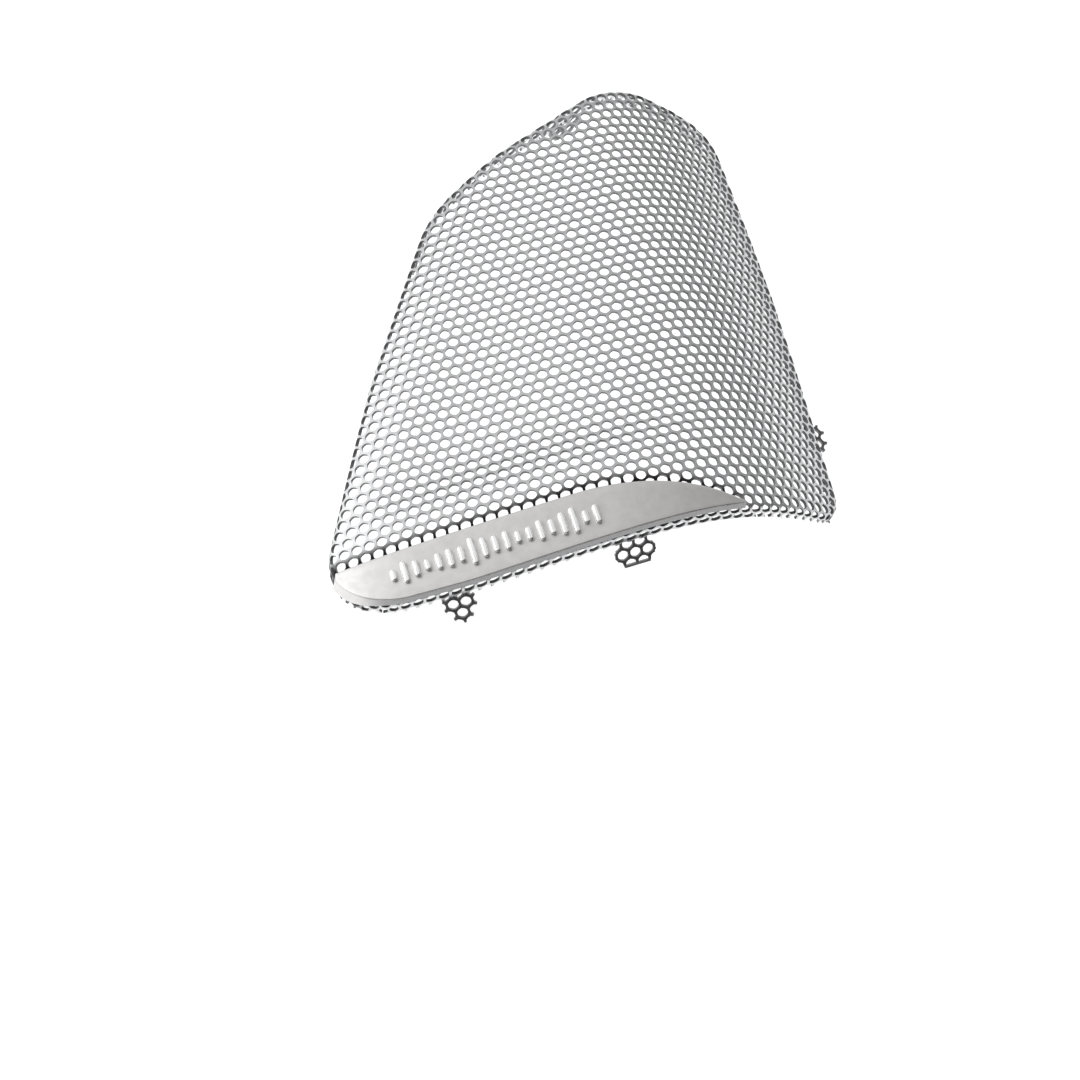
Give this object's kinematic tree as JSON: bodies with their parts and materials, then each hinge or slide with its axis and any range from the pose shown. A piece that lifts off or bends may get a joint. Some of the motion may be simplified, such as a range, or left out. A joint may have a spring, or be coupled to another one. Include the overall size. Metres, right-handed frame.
{
  "type": "car tweeter cover",
  "caption": "Crowned triangular cover of perforated sheet metal with a rolled flange, bent mounting tabs and a raised metal badge strip along its lower edge.",
  "frame": {"origin": "centre of the bounding box in plan, at the level of the lowest rim, so the cover lies face up on Z = 0", "axes": "+X along the badge edge, towards the badge's pointed end; +Y from the badge edge to the apex; +Z out of the visible face"},
  "size_m": [0.1092, 0.1088, 0.0253],
  "materials": {
    "silver_paint": "silver metallic paint, satin",
    "satin_aluminium": "fine satin, near matte",
    "polished_chrome": "polished",
    "black_foam": "matte closed-cell foam",
    "zinc_steel": "zinc plated",
    "spring_steel": "dark phosphated"
  },
  "bodies": {
    "root": {"grille_shell": "silver_paint", "badge_strip": "satin_aluminium", "badge_pad": "black_foam", "emblem_bars": "polished_chrome", "badge_stud_1": "zinc_steel", "badge_stud_2": "zinc_steel", "badge_stud_3": "zinc_steel", "push_retainer_1": "spring_steel", "push_retainer_2": "spring_steel", "push_retainer_3": "spring_steel"}
  },
  "joints": []
}
